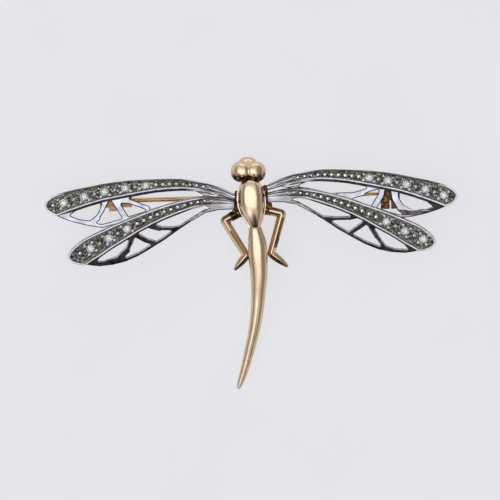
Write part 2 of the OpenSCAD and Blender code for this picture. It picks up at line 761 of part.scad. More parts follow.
body();
forewing_left();
forewing_right();
hindwing_left();
hindwing_right();
wing_diamond(0, 0, 0);  // diamond_fore_left_1
wing_diamond(0, 0, 1);  // diamond_fore_left_2
wing_diamond(0, 0, 2);  // diamond_fore_left_3
wing_diamond(0, 0, 3);  // diamond_fore_left_4
wing_diamond(0, 0, 4);  // diamond_fore_left_5
wing_diamond(0, 1, 0);  // diamond_fore_right_1
wing_diamond(0, 1, 1);  // diamond_fore_right_2
wing_diamond(0, 1, 2);  // diamond_fore_right_3
wing_diamond(0, 1, 3);  // diamond_fore_right_4
wing_diamond(0, 1, 4);  // diamond_fore_right_5
wing_diamond(1, 0, 0);  // diamond_hind_left_1
wing_diamond(1, 0, 1);  // diamond_hind_left_2
wing_diamond(1, 0, 2);  // diamond_hind_left_3
wing_diamond(1, 1, 0);  // diamond_hind_right_1
wing_diamond(1, 1, 1);  // diamond_hind_right_2
wing_diamond(1, 1, 2);  // diamond_hind_right_3
hinge_base();
hinge_rivet();
pin_stem();
catch_body();
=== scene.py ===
"""Looks of a dragonfly brooch: polished yellow-gold body, four pierced white-gold wings with
grain-set diamonds, and an amber-toned pin finding. Lengths are in metres, +Y points to the head."""

import math
from collections import namedtuple
from contextlib import contextmanager

import bmesh
import bpy
from bpy.props import FloatProperty, FloatVectorProperty, PointerProperty
from mathutils import Matrix, Vector


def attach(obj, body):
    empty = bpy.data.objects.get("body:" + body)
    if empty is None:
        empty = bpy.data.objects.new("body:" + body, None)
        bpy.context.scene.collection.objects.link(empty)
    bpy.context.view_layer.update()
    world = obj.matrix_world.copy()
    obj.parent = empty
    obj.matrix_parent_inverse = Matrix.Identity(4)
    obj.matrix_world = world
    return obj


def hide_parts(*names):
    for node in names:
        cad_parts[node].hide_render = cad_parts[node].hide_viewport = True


bl_info = {
    "name": "Dragonfly Brooch",
    "version": (1, 0, 0),
    "blender": (4, 5, 0),
    "location": "3D View > Sidebar > Brooch",
    "description": "Models and finishes the pieces of a dragonfly brooch",
    "category": "Add Mesh",
}

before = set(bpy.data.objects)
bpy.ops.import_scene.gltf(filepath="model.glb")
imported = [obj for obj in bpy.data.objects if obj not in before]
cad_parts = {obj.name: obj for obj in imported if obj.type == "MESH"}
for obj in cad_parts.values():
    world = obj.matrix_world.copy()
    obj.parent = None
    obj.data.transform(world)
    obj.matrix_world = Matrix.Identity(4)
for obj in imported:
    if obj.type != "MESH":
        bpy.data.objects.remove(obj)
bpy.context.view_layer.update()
MM = 0.001

# Middle of the brooch along its length, from the middle of the thorax
MID_Y = -10.4521 * MM
# Share of the thorax length that lies ahead of its middle
THORAX_AHEAD = 0.484

# Row of a thorax section: share of the length, side shift in millimetres, width share, height share
THORAX = [
    (-0.024, -0.08, 0.16, 0.24),
    (-0.012, -0.08, 0.30, 0.42),
    (0.01, -0.08, 0.42, 0.60),
    (0.04, -0.07, 0.54, 0.74),
    (0.09, -0.05, 0.70, 0.86),
    (0.16, -0.03, 0.86, 0.94),
    (0.27, 0.01, 0.97, 0.99),
    (0.42, 0.04, 1.00, 1.00),
    (0.56, 0.10, 0.97, 0.97),
    (0.68, 0.22, 0.87, 0.86),
    (0.79, 0.36, 0.70, 0.70),
    (0.90, 0.52, 0.50, 0.50),
    (0.97, 0.62, 0.36, 0.34),
    (1.00, 0.65, 0.24, 0.22),
]
# Row of a ledge section: share of the thorax length, side shift in millimetres, width share
LEDGE = [
    (-0.02, -0.12, 0.22),
    (0.03, -0.10, 0.46),
    (0.09, -0.08, 0.66),
    (0.17, -0.06, 0.83),
    (0.28, -0.03, 0.95),
    (0.42, 0.02, 1.00),
    (0.58, 0.10, 0.95),
    (0.72, 0.26, 0.80),
    (0.86, 0.44, 0.58),
    (1.02, 0.66, 0.46),
    (1.30, 0.96, 0.66),
    (1.62, 1.12, 0.50),
]
# Row of an abdomen section: share of the length, side place as a share of the sway,
# width share, thickness share, height of its middle as a share of the drop
ABDOMEN = [
    (-0.015, 0.01, 0.46, 0.45, 1.00),
    (0.00, 0.00, 0.69, 0.82, 1.00),
    (0.10, 0.12, 0.96, 0.97, 1.00),
    (0.18, 0.15, 1.00, 1.00, 0.97),
    (0.29, 0.21, 0.89, 0.92, 0.90),
    (0.38, 0.18, 0.78, 0.84, 0.82),
    (0.50, 0.11, 0.69, 0.76, 0.67),
    (0.63, -0.06, 0.62, 0.70, 0.47),
    (0.75, -0.32, 0.55, 0.63, 0.27),
    (0.88, -0.64, 0.45, 0.53, 0.09),
    (0.96, -0.88, 0.35, 0.42, 0.00),
    (1.00, -1.00, 0.16, 0.20, 0.00),
]
# Row of a dome of the head, in millimetres: place aside, ahead of the eyes' middle and above the
# back, half width, half length, half height, then how flat its top is and how far its top leans
# aside as a share of the half width
EYES_AND_FACE = [
    (-1.61, 0.0, 1.85, 1.5, 1.58, 1.85, 0.7, 0.27),
    (0.75, 0.0, 1.85, 1.5, 1.58, 1.85, 0.7, -0.27),
    (-0.43, 0.1, 1.6, 1.0, 1.1, 1.6, 0.7, 0.0),
    (-0.53, 0.95, 1.3, 1.6, 1.32, 1.25, 0.0, 0.0),
]
NECK = (-0.38, -0.8, 0.9, 1.6, 1.0, 1.1, 0.0, 0.0)

# A leg: place of its hip in millimetres, turns of femur, tibia and foot in degrees, length of its
# foot, reach of the painted shade round its hip, limits of the painted dark reflection line across
# the tibia in millimetres and along it as shares, and the front end of the block of solder ahead of it
Leg = namedtuple("Leg", "hip_x hip_y femur tibia foot foot_length stain across along block_end")
LEGS = {
    "left": Leg(1.60, -1.30, 29, 32, 40, 2.8, 1.75, (-0.30, 0.04), (0.3, 0.97), 12.3),
    "right": Leg(1.95, -0.95, 13.5, 15, 52, 3.15, 1.15, (0.12, 0.56), (0.08, 0.85), 13.15),
}
# Row of a point along a leg: bone from 0 for the femur to 2 for the foot, share of it, width share
LEG_PATH = [
    (0, 0.0, 1.12), (0, 0.35, 1.08), (0, 0.84, 1.0),
    (1, 0.0, 1.0), (1, 0.07, 1.02), (1, 0.5, 0.96), (1, 0.95, 0.88),
    (2, 0.0, 0.9), (2, 0.15, 0.94), (2, 0.45, 0.88), (2, 0.8, 0.6), (2, 1.0, 0.3),
]
# Half of a leg's cross-section, from underneath to the ridge, as shares of its half width
LEG_HALF_SECTION = [
    (0.4, -0.9), (0.8, -0.65), (1.0, -0.25), (0.98, 0.10), (0.80, 0.42), (0.22, 0.92), (0.08, 1.0),
]

# Row of a wing section: share of the length, height of the band's middle as a share of
# the wing's rise or drop, band width share
FORE = [
    (0.000, -0.31, 0.20),
    (0.070, 0.28, 0.26),
    (0.140, 0.63, 0.35),
    (0.210, 0.87, 0.39),
    (0.280, 1.00, 0.44),
    (0.350, 0.99, 0.48),
    (0.420, 0.90, 0.52),
    (0.490, 0.76, 0.60),
    (0.560, 0.58, 0.68),
    (0.630, 0.37, 0.73),
    (0.700, 0.12, 0.76),
    (0.770, -0.22, 0.81),
    (0.840, -0.59, 0.90),
    (0.900, -0.96, 0.96),
    (0.937, -1.22, 1.00),
    (0.960, -1.24, 0.84),
    (0.982, -1.26, 0.58),
    (0.994, -1.23, 0.34),
]
HIND = [
    (-0.024, 0.03, 0.11),
    (0.080, -0.01, 0.24),
    (0.160, -0.01, 0.29),
    (0.240, 0.03, 0.35),
    (0.325, 0.10, 0.42),
    (0.405, 0.18, 0.47),
    (0.490, 0.28, 0.54),
    (0.570, 0.39, 0.61),
    (0.650, 0.51, 0.72),
    (0.730, 0.63, 0.81),
    (0.810, 0.77, 0.92),
    (0.855, 0.84, 0.96),
    (0.895, 0.91, 1.00),
    (0.930, 0.94, 0.84),
    (0.965, 0.97, 0.60),
    (0.988, 0.985, 0.34),
]
# A kind of wing: its sections, length, rise, greatest band width and height of its back in
# millimetres, lean of its plane in degrees, share of the length where its skirt ends
Kind = namedtuple("Kind", "rows length rise band height lean skirt_end")
KINDS = {
    "fore": Kind(FORE, 28.5, 1.44, 3.25, 3.2, 0, 0.937),
    "hind": Kind(HIND, 24.6, -7.9, 3.95, 4.08, 9, 0.895),
}
# Row of a wing: kind, mirrored, root x and y in millimetres, turn in plan in degrees, stones,
# last stone from the tip and pitch of the stones in millimetres
WINGS = {
    "forewing_left": ("fore", True, 2.41, 1.421, 0.0, 5, 2.78, 3.08),
    "forewing_right": ("fore", False, 2.41, 2.85, 0.0, 5, 2.0, 2.8),
    "hindwing_left": ("hind", True, 3.03, 0.502, -1.3, 3, 3.4, 2.75),
    "hindwing_right": ("hind", False, 2.91, 1.6, 1.3, 3, 1.8, 2.75),
}
# Row of a ring of a brilliant of width 1: sides, radius, height, turn in degrees
BRILLIANT = [
    (8, 0.285, 0.600, 22.5),
    (8, 0.405, 0.535, 0.0),
    (16, 0.5, 0.435, 11.25),
    (16, 0.5, 0.410, 11.25),
    (8, 0.13, 0.095, 0.0),
    (8, 0.02, 0.0, 22.5),
]
# Lines of the graver at a wing's root: their width in millimetres and their tones
FINE_LINES = 0.2381, [(0.36, "241F1A"), (0.45, "524B45"), (0.54, "918D8B"), (0.66, "DEDBDC")]
BROAD_LINES = 0.9524, [(0.30, "645F5D"), (0.50, "94908F"), (0.68, "C8C5C7")]


def linear(colour):
    """sRGB hex digits as a linear colour with full opacity."""
    parts = [int(colour[i:i + 2], 16) / 255 for i in (0, 2, 4)]
    return [c / 12.92 if c <= 0.04045 else ((c + 0.055) / 1.055) ** 2.4 for c in parts] + [1.0]


def length(name, description, millimetres):
    """A length that a user can change."""
    return FloatProperty(name=name, description=description, default=millimetres * MM, unit="LENGTH")


def tint(name, description, colour):
    """A colour that a user can change, given as sRGB hex digits."""
    return FloatVectorProperty(name=name, description=description, default=linear(colour), size=4,
                               min=0.0, max=1.0, subtype="COLOR")


class BroochBody(bpy.types.PropertyGroup):
    thorax_length: length("Thorax length", "Length of the dome of the thorax", 7.6)
    thorax_width: length("Thorax width", "Greatest width of the dome", 3.9)
    thorax_height: length("Dome height", "Height of the dome above the ledge", 2.1)
    ledge_width: length("Ledge", "How far the ledge stands out past the dome", 0.34)
    ledge_height: length("Ledge height", "Thickness of the ledge", 1.7)
    back_height: length("Back height", "Height of the flat back above the table", 3.2)
    abdomen_length: length("Abdomen length", "From the waist to the tip", 24.1)
    abdomen_width: length("Abdomen width", "Greatest width of the abdomen", 2.92)
    abdomen_thickness: length("Abdomen thickness", "Greatest thickness of the abdomen", 2.2)
    abdomen_sway: length("Sway", "How far the tip swings to the left", 2.55)
    leg_width: length("Leg width", "Width of a leg's bar at the knee", 1.34)
    gold_deep: tint("Deep gold", "Deeper clouds in the polished gold", "CFB595")
    gold_pale: tint("Pale gold", "Paler clouds in the polished gold", "DDC8AA")


class BroochWings(bpy.types.PropertyGroup):
    blade_thickness: length("Blade", "Thickness of the pierced blade", 0.8)
    floor_height: length("Floor", "Height of the channel floor above the back", 1.05)
    rim_height: length("Rims", "Height of the rims above the back", 1.45)
    rim_width: length("Rim width", "Width of a rim", 0.26)
    grain_width: length("Grain", "Diameter of a setting grain", 0.64)
    stone_width: length("Diamond", "Diameter of a diamond", 1.4)


class BroochStage(bpy.types.PropertyGroup):
    floor_size: length("Floor", "Side of the pale floor", 1600.0)
    camera_height: length("Camera height", "Height of the camera over the brooch", 700.0)
    frame_width: length("Frame width", "Width of what the camera sees", 75.0)


def fill(tree, node, inputs):
    """Gives each named input a value, or a link from a socket or from a node's first output in use."""
    for name, value in inputs.items():
        if isinstance(value, bpy.types.Node):
            value = next(out for out in value.outputs if out.enabled)
        if isinstance(value, bpy.types.NodeSocket):
            tree.links.new(value, node.inputs[name])
        else:
            node.inputs[name].default_value = value


def add_node(tree, kind, inputs=None, stops=(), **settings):
    """A node with its settings and inputs; stops are the places and colours along a colour ramp."""
    made = tree.nodes.new("ShaderNode" + kind)
    for name, value in settings.items():
        setattr(made, name, value)
    if stops:
        bar = made.color_ramp.elements
        while len(bar) < len(stops):
            bar.new(0.5)
        for element, (place, colour) in zip(bar, stops):
            element.position = place
            element.color = linear(colour) if isinstance(colour, str) else colour
    fill(tree, made, inputs or {})
    return made


def grain(width):
    """Scale of a pattern whose grain is this many millimetres wide."""
    return 1 / (width * MM)


def started(name):
    """A new material and its node tree."""
    made = bpy.data.materials.new(name)
    made.use_nodes = True
    return made, made.node_tree


def dressed(made, looks):
    """The material with its shader's inputs filled."""
    tree = made.node_tree
    fill(tree, tree.nodes["Principled BSDF"], looks)
    return made


def yellow_gold(name, low=None, high=None):
    """Cast 18 carat yellow gold, polished with a mop: mirror-like with soft wide highlights, faint
    cloudy colour and hairlines from wear that only just blur the reflections. Its two tones are
    the user's unless others are given."""
    user = bpy.context.scene.brooch_body
    made, tree = started(name)
    place = add_node(tree, "TexCoord").outputs["Object"]
    cloud = add_node(tree, "TexNoise", {"Vector": place, "Scale": grain(2.857), "Detail": 3.0})
    tones = [(0.3, low or user.gold_deep), (0.7, high or user.gold_pale)]
    wear = add_node(tree, "TexNoise", {"Vector": place, "Scale": grain(0.8333), "Detail": 4.0})
    drawn_out = grain(0.1111), grain(1.429), grain(0.3333)
    hairs = add_node(tree, "Mapping", {"Vector": place, "Scale": drawn_out})
    lines = add_node(tree, "TexNoise", {"Vector": hairs, "Scale": 1.0, "Detail": 1.0})
    return dressed(made, {
        "Base Color": add_node(tree, "ValToRGB", {"Fac": cloud}, tones),
        "Metallic": 1.0,
        "Roughness": add_node(tree, "MapRange", {"Value": wear, "To Min": 0.16, "To Max": 0.30}),
        "Normal": add_node(tree, "Bump", {"Height": lines, "Strength": 0.06, "Distance": 0.01 * MM}),
    })


def head_gold(name):
    """The polished gold of the head, with painted shade and a painted dark reflection in the hollow
    behind the eyes: dark brown, speckled, with a ragged edge towards the polished top."""
    made = yellow_gold(name)
    tree = made.node_tree
    polished = tree.nodes["Principled BSDF"].inputs["Base Color"].links[0].from_socket
    place = add_node(tree, "TexCoord").outputs["Object"]
    ahead = add_node(tree, "SeparateXYZ", {"Vector": place}).outputs["Y"]
    ragged = add_node(tree, "TexNoise", {"Vector": place, "Scale": grain(0.5882), "Detail": 3.0})
    shift = add_node(tree, "MapRange", {"Value": ragged, "To Min": -0.9 * MM, "To Max": 0.9 * MM})
    edge = add_node(tree, "Math", {0: ahead, 1: shift}, operation="ADD")
    hollow = add_node(tree, "MapRange", {"Value": edge, "From Min": 14.68 * MM, "From Max": 14.30 * MM})
    tones = [(0.35, "2B1D14"), (0.50, "4A3524"), (0.62, "9C7B55")]
    stain = add_node(tree, "ValToRGB", {"Fac": ragged}, tones)
    colour = add_node(tree, "Mix", {"Factor": hollow, "A": polished, "B": stain}, data_type="RGBA")
    return dressed(made, {"Base Color": colour})


def root_lines(tree, lines):
    """Bright and dark lines left by the graver along the root of a wing."""
    width, tones = lines
    band = add_node(tree, "UVMap", uv_map="band")
    along = add_node(tree, "Mapping", {"Vector": band, "Scale": (grain(4.545), grain(width), 1.0)})
    noise = add_node(tree, "TexNoise", {"Vector": along, "Scale": 1.0, "Detail": 2.0})
    return add_node(tree, "ValToRGB", {"Fac": noise}, tones)


def white_gold(name, low, high, rough, lines=None):
    """Polished white gold: cool grey with a lilac cast where it mirrors the room, small colour
    clouds and fine scratches from wear. Its two tones come with each copy, lighter or darker to paint
    light, shade and dark reflections. Its root is engraved with lines, where they are given,
    and its end is darkened by the solder."""
    made, tree = started(name)
    place = add_node(tree, "TexCoord").outputs["Object"]
    cloud = add_node(tree, "TexNoise", {"Vector": place, "Scale": grain(1.111), "Detail": 4.0})
    colour = add_node(tree, "ValToRGB", {"Fac": cloud}, [(0.32, low), (0.68, high)])
    root = add_node(tree, "Attribute", attribute_name="from_root").outputs["Fac"]
    if lines:
        near = add_node(tree, "MapRange", {"Value": root, "From Min": 0.26, "From Max": 0.19})
        lined = root_lines(tree, lines)
        colour = add_node(tree, "Mix", {"Factor": near, "A": colour, "B": lined}, data_type="RGBA")
    end = add_node(tree, "MapRange", {"Value": root, "From Min": -0.012, "From Max": -0.018})
    solder = linear("3A2E26")
    grit = add_node(tree, "TexNoise", {"Vector": place, "Scale": grain(0.2), "Detail": 2.0})
    return dressed(made, {
        "Base Color": add_node(tree, "Mix", {"Factor": end, "A": colour, "B": solder}, data_type="RGBA"),
        "Metallic": 1.0,
        "Roughness": add_node(tree, "MapRange", {"Value": cloud, "To Min": rough, "To Max": rough + 0.14}),
        "Normal": add_node(tree, "Bump", {"Height": grit, "Strength": 0.12, "Distance": 0.02 * MM}),
    })


def engraved_floor(name):
    """Oxidised white gold between the grains: dark olive-brown and mottled in the hollows, with
    short slanted strokes of a graver near the rims, and lined and polished at the root."""
    made, tree = started(name)
    band = add_node(tree, "UVMap", uv_map="band")
    root = add_node(tree, "Attribute", attribute_name="from_root").outputs["Fac"]
    side = add_node(tree, "Attribute", attribute_name="to_rim").outputs["Fac"]
    cloud = add_node(tree, "TexNoise", {"Vector": band, "Scale": grain(0.3333), "Detail": 3.0, "Roughness": 0.6})
    tones = [(0.36, "181612"), (0.47, "3D3A33"), (0.57, "66635A"), (0.70, "BFBCB4")]
    dark = add_node(tree, "ValToRGB", {"Fac": cloud}, tones)
    slant = add_node(tree, "Mapping", {"Vector": band, "Rotation": (0.0, 0.0, 0.9)})
    strokes = add_node(tree, "TexWave", {"Vector": slant, "Scale": grain(0.7692), "Distortion": 3.0,
                                         "Detail": 2.0, "Detail Scale": 3.0}, wave_type="BANDS").outputs["Fac"]
    edge = add_node(tree, "Math", {0: side}, operation="ABSOLUTE")
    near_rim = add_node(tree, "MapRange", {"Value": edge, "From Min": 0.4, "From Max": 0.8, "To Max": 0.45})
    cut = add_node(tree, "Math", {0: strokes, 1: near_rim}, operation="MULTIPLY")
    lit = add_node(tree, "Mix", {"Factor": cut, "A": dark, "B": linear("A9A599")}, data_type="RGBA")
    polished = add_node(tree, "MapRange", {"Value": root, "From Min": 0.19, "From Max": 0.11})
    lined = root_lines(tree, FINE_LINES)
    relief = add_node(tree, "Math", {0: cloud, 1: cut}, operation="ADD")
    return dressed(made, {
        "Base Color": add_node(tree, "Mix", {"Factor": polished, "A": lit, "B": lined}, data_type="RGBA"),
        "Metallic": 1.0,
        "Roughness": add_node(tree, "MapRange", {"Value": polished, "To Min": 0.45, "To Max": 0.25}),
        "Normal": add_node(tree, "Bump", {"Height": relief, "Strength": 0.8, "Distance": 0.06 * MM}),
    })


def cut_diamond(name):
    """Cut diamond: colourless, very high refraction, sharp facets."""
    made, tree = started(name)
    place = add_node(tree, "TexCoord").outputs["Object"]
    cloud = add_node(tree, "TexNoise", {"Vector": place, "Scale": grain(0.6667), "Detail": 1.0})
    return dressed(made, {
        "Base Color": add_node(tree, "ValToRGB", {"Fac": cloud}, [(0.35, "E2E2DA"), (0.65, "FAF9F2")]),
        "Roughness": 0.02,
        "IOR": 2.417,
        "Transmission Weight": 0.8,
    })


def amber_gold(name, low, high):
    """Gold alloy of the pin and its fittings: deeper, amber-toned, brushed lengthways and left
    satin, so its highlights are wide and dull."""
    made, tree = started(name)
    place = add_node(tree, "TexCoord").outputs["Object"]
    brushed = add_node(tree, "Mapping", {"Vector": place, "Scale": (grain(3.333), grain(0.25), grain(0.25))})
    lines = add_node(tree, "TexNoise", {"Vector": brushed, "Scale": 1.0, "Detail": 3.0})
    return dressed(made, {
        "Base Color": add_node(tree, "ValToRGB", {"Fac": lines}, [(0.3, low), (0.7, high)]),
        "Metallic": 1.0,
        "Roughness": add_node(tree, "MapRange", {"Value": lines, "To Min": 0.28, "To Max": 0.45}),
        "Normal": add_node(tree, "Bump", {"Height": lines, "Strength": 0.2, "Distance": 0.01 * MM}),
    })


def shaded_gold(name):
    """Yellow gold with painted shade, for corners and parts that lie in shadow: brown, grainy and dull."""
    made, tree = started(name)
    place = add_node(tree, "TexCoord").outputs["Object"]
    cloud = add_node(tree, "TexNoise", {"Vector": place, "Scale": grain(0.4545), "Detail": 4.0})
    tones = [(0.32, "1A110C"), (0.48, "3D2A1B"), (0.60, "6E5030"), (0.74, "B99262")]
    return dressed(made, {
        "Base Color": add_node(tree, "ValToRGB", {"Fac": cloud}, tones),
        "Metallic": 1.0,
        "Roughness": add_node(tree, "MapRange", {"Value": cloud, "To Min": 0.25, "To Max": 0.5}),
        "Normal": add_node(tree, "Bump", {"Height": cloud, "Strength": 0.6, "Distance": 0.05 * MM}),
    })


def opal_sheet(name):
    """Opal acrylic sheet lit evenly from below: pale grey, almost shadowless, with a faint satin cloud."""
    made, tree = started(name)
    place = add_node(tree, "TexCoord").outputs["Object"]
    cloud = add_node(tree, "TexNoise", {"Vector": place, "Scale": grain(16.67), "Detail": 2.0})
    return dressed(made, {
        "Base Color": add_node(tree, "ValToRGB", {"Fac": cloud}, [(0.3, "5C5C5E"), (0.7, "606062")]),
        "Emission Color": add_node(tree, "ValToRGB", {"Fac": cloud}, [(0.3, "D6D6DA"), (0.7, "D8D8DB")]),
        "Emission Strength": 1.0,
        "Roughness": 0.9,
    })


# Row of a finish: its maker, then what the maker takes after the name
FINISHES = {
    "yellow_gold_polished": (yellow_gold,),
    # Darker copy of the polished gold: painted dark reflection along the lower legs
    "yellow_gold_crease": (yellow_gold, "5A432B", "8A6C4A"),
    "yellow_gold_head": (head_gold,),
    # Painted shade for corners and parts in shadow
    "yellow_gold_recess": (shaded_gold,),
    # The white golds are lighter and darker copies of one metal, which paint light, shade and dark reflections
    # where they are given
    "white_gold_bright": (white_gold, "979698", "C2C1C4", 0.20, FINE_LINES),
    "white_gold_shaded": (white_gold, "3A2D29", "6C5F5C", 0.24, FINE_LINES),
    "white_gold_darkened": (white_gold, "130F0E", "3E3432", 0.28, BROAD_LINES),
    "white_gold_rim": (white_gold, "ABA7AB", "CDCACD", 0.18, FINE_LINES),
    "white_gold_dull": (white_gold, "38352F", "6E6A61", 0.26, FINE_LINES),
    "white_gold_grain": (white_gold, "E0DDD6", "F6F4EE", 0.12),
    "channel_floor_oxidised": (engraved_floor,),
    "diamond_cut": (cut_diamond,),
    # Paler tones for the pin, deeper ones for its hinge
    "finding_gold_rubbed": (amber_gold, "AC8A5E", "DDBB8E"),
    "finding_gold_satin": (amber_gold, "735641", "9A7B5C"),
    "backdrop_sheet": (opal_sheet,),
}


def finish_with(mesh, *names):
    """Gives a mesh its finishes, each made once."""
    mesh.materials.clear()
    for name in names:
        maker, *words = FINISHES[name]
        mesh.materials.append(bpy.data.materials.get(name) or maker(name, *words))


def lone(piece):
    """Selects this piece alone."""
    bpy.ops.object.select_all(action="DESELECT")
    piece.select_set(True)
    bpy.context.view_layer.objects.active = piece


@contextmanager
def edit(piece):
    """Edit mode on this piece alone, with all of it selected."""
    lone(piece)
    bpy.ops.object.mode_set(mode="EDIT")
    bpy.ops.mesh.select_all(action="SELECT")
    yield
    bpy.ops.object.mode_set(mode="OBJECT")


def new_piece(name, primitive, **settings):
    """A primitive, alone in the selection."""
    bpy.ops.object.select_all(action="DESELECT")
    primitive(**settings)
    made = bpy.context.object
    made.name = name
    return made


def copy_of(model, name):
    """A copy of a piece, with its own mesh."""
    made = bpy.data.objects.new(name, model.data.copy())
    bpy.context.scene.collection.objects.link(made)
    return made


def shaped(piece, kind, **settings):
    """Adds a modifier with its settings and applies it."""
    lone(piece)
    modifier = piece.modifiers.new(kind.lower(), kind)
    for name, value in settings.items():
        setattr(modifier, name, value)
    bpy.ops.object.modifier_apply(modifier=modifier.name)


def smoothed(piece, degrees=None):
    """Shades a piece smooth, all over or up to an angle between its faces."""
    lone(piece)
    if degrees is None:
        bpy.ops.object.shade_smooth()
    else:
        bpy.ops.object.shade_smooth_by_angle(angle=math.radians(degrees))


def pick(piece, kind, test):
    """In edit mode, selects just the faces or points that pass the test."""
    bpy.ops.mesh.select_mode(type=kind)
    bpy.ops.mesh.select_all(action="DESELECT")
    work = bmesh.from_edit_mesh(piece.data)
    for item in work.faces if kind == "FACE" else work.verts:
        item.select_set(test(item))
    work.select_flush(True)
    bmesh.update_edit_mesh(piece.data)


def smooth_between(rows, steps):
    """Rows with smooth steps put between each two, on a curve through all of them."""
    out = []
    last = len(rows) - 1
    for i in range(last):
        near = rows[max(i - 1, 0)], rows[i], rows[i + 1], rows[min(i + 2, last)]
        for k in range(steps):
            t = k / steps
            out.append(tuple(0.5 * (2 * q + (r - p) * t + (2 * p - 5 * q + 4 * r - s) * t * t
                                    + (3 * q - p - 3 * r + s) * t * t * t) for p, q, r, s in zip(*near)))
    return out + [rows[-1]]


def draw_on(start, rows, scale_of):
    """Extrudes what is selected from row to row: each is moved to its middle and resized."""
    before = start
    for row in rows:
        move = [q - p for p, q in zip(before[:3], row[:3])]
        grown = row[3] / before[3]
        if scale_of == "tube":
            bpy.ops.mesh.extrude_region_move(TRANSFORM_OT_translate={"value": move})
            size = (grown, 1.0, row[4] / before[4])
        else:
            bpy.ops.mesh.extrude_edges_move(TRANSFORM_OT_translate={"value": move})
            size = (grown, 1.0, 1.0) if scale_of == "x" else (1.0, grown, 1.0)
        bpy.ops.transform.resize(value=size, center_override=row[:3])
        before = row


def drawn_tube(name, rings, sides, fullness=1.0):
    """Closed body drawn from a disc; a ring is x, y, z, half width, half height. A fullness over
    one makes its section flatter on top and fuller at the sides."""
    x, y, z, half, tall = rings[0]
    piece = new_piece(name, bpy.ops.mesh.primitive_circle_add, vertices=sides, radius=1.0, fill_type="NGON",
                      rotation=(math.pi / 2, 0, 0))
    bpy.ops.object.transform_apply(location=True, rotation=True, scale=True)
    with edit(piece):
        work = bmesh.from_edit_mesh(piece.data)
        for v in work.verts:
            v.co.x = math.copysign(abs(v.co.x) ** (1 / fullness), v.co.x)
            v.co.z = math.copysign(abs(v.co.z) ** (1 / fullness), v.co.z)
        bmesh.update_edit_mesh(piece.data)
        bpy.ops.transform.resize(value=(half, 1.0, tall), center_override=(0, 0, 0))
        bpy.ops.transform.translate(value=(x, y, z))
        draw_on(rings[0], rings[1:], "tube")
        bpy.ops.mesh.select_all(action="SELECT")
        bpy.ops.mesh.normals_make_consistent(inside=False)
    return piece


def drawn_strip(name, rows, cells, across):
    """Flat strip drawn from one edge; a row is x, y, z, half width, across names its width's axis."""
    x, y, z, half = rows[0]
    piece = new_piece(name, bpy.ops.mesh.primitive_grid_add, x_subdivisions=cells, y_subdivisions=1, size=2.0)
    with edit(piece):
        work = bmesh.from_edit_mesh(piece.data)
        spare = [v for v in work.verts if v.co.y > 0]
        bmesh.ops.delete(work, geom=spare, context="VERTS")
        for v in work.verts:
            v.co.y = 0.0
            if across == "y":
                v.co.x, v.co.y = 0.0, v.co.x
            v.select_set(True)
        work.select_flush(True)
        bmesh.update_edit_mesh(piece.data)
        bpy.ops.mesh.select_mode(type="EDGE")
        bpy.ops.mesh.select_all(action="SELECT")
        bpy.ops.transform.resize(value=(half, half, half), center_override=(0, 0, 0))
        bpy.ops.transform.translate(value=(x, y, z))
        draw_on(rows[0], rows[1:], across)
    return piece


def thickened(piece, height, edge=0.0):
    """Gives a flat strip its height downwards, with its edges rounded where that is asked."""
    with edit(piece):
        bpy.ops.mesh.normals_make_consistent(inside=False)
        bpy.ops.mesh.extrude_region_move(TRANSFORM_OT_translate={"value": (0, 0, -height)})
        bpy.ops.mesh.select_all(action="SELECT")
        bpy.ops.mesh.normals_make_consistent(inside=False)
    if edge:
        shaped(piece, "BEVEL", width=edge, segments=4, angle_limit=math.radians(50))
    return piece


def joined(name, parts):
    """One piece from several, under one name."""
    lone(parts[0])
    for part in parts:
        part.select_set(True)
    bpy.ops.object.join()
    parts[0].name = name
    return parts[0]


def settle(piece, finishes, node="body"):
    """Last step of each piece: its place goes into its mesh, then its finishes, body and node."""
    lone(piece)
    bpy.ops.object.transform_apply(location=True, rotation=True, scale=True)
    finish_with(piece.data, *finishes)
    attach(piece, "root")
    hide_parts(node)


class BROOCH_OT_thorax(bpy.types.Operator):
    """Thorax: a smooth egg-shaped dome standing on a rounded ledge"""
    bl_idname = "brooch.thorax"
    bl_label = "Thorax"

    def execute(self, context):
        size = context.scene.brooch_body
        front = size.thorax_length * THORAX_AHEAD - MID_Y
        top = size.back_height + size.ledge_height
        # The dome's middles lie under the ledge's top, and its rings are a little wide, because
        # the smoothing draws them in
        sunk = 0.2 * MM
        half_width = 0.525 * size.thorax_width
        rings = [(aside * MM, front - share * size.thorax_length, top - sunk,
                  wide * half_width, tall * size.thorax_height + sunk)
                 for share, aside, wide, tall in smooth_between(THORAX, 2)]
        dome = drawn_tube("thorax_dome", rings, sides=24, fullness=1.32)
        with edit(dome):
            pick(dome, "VERT", lambda point: point.co.z < top - sunk - 0.01 * MM)
            bpy.ops.transform.resize(value=(1, 1, 0.15), center_override=(0, 0, top - sunk))
        shaped(dome, "SUBSURF", levels=2, render_levels=2)
        smoothed(dome)
        settle(dome, ["yellow_gold_polished"])
        half_width = size.thorax_width / 2 + 0.75 * size.ledge_width
        rows = [(aside * MM, front - share * size.thorax_length, top, wide * half_width)
                for share, aside, wide in smooth_between(LEDGE, 4)]
        ledge = thickened(drawn_strip("thorax_ledge", rows, 8, "x"), size.ledge_height, edge=0.28 * MM)
        smoothed(ledge, 40)
        settle(ledge, ["yellow_gold_polished"])
        return {"FINISHED"}


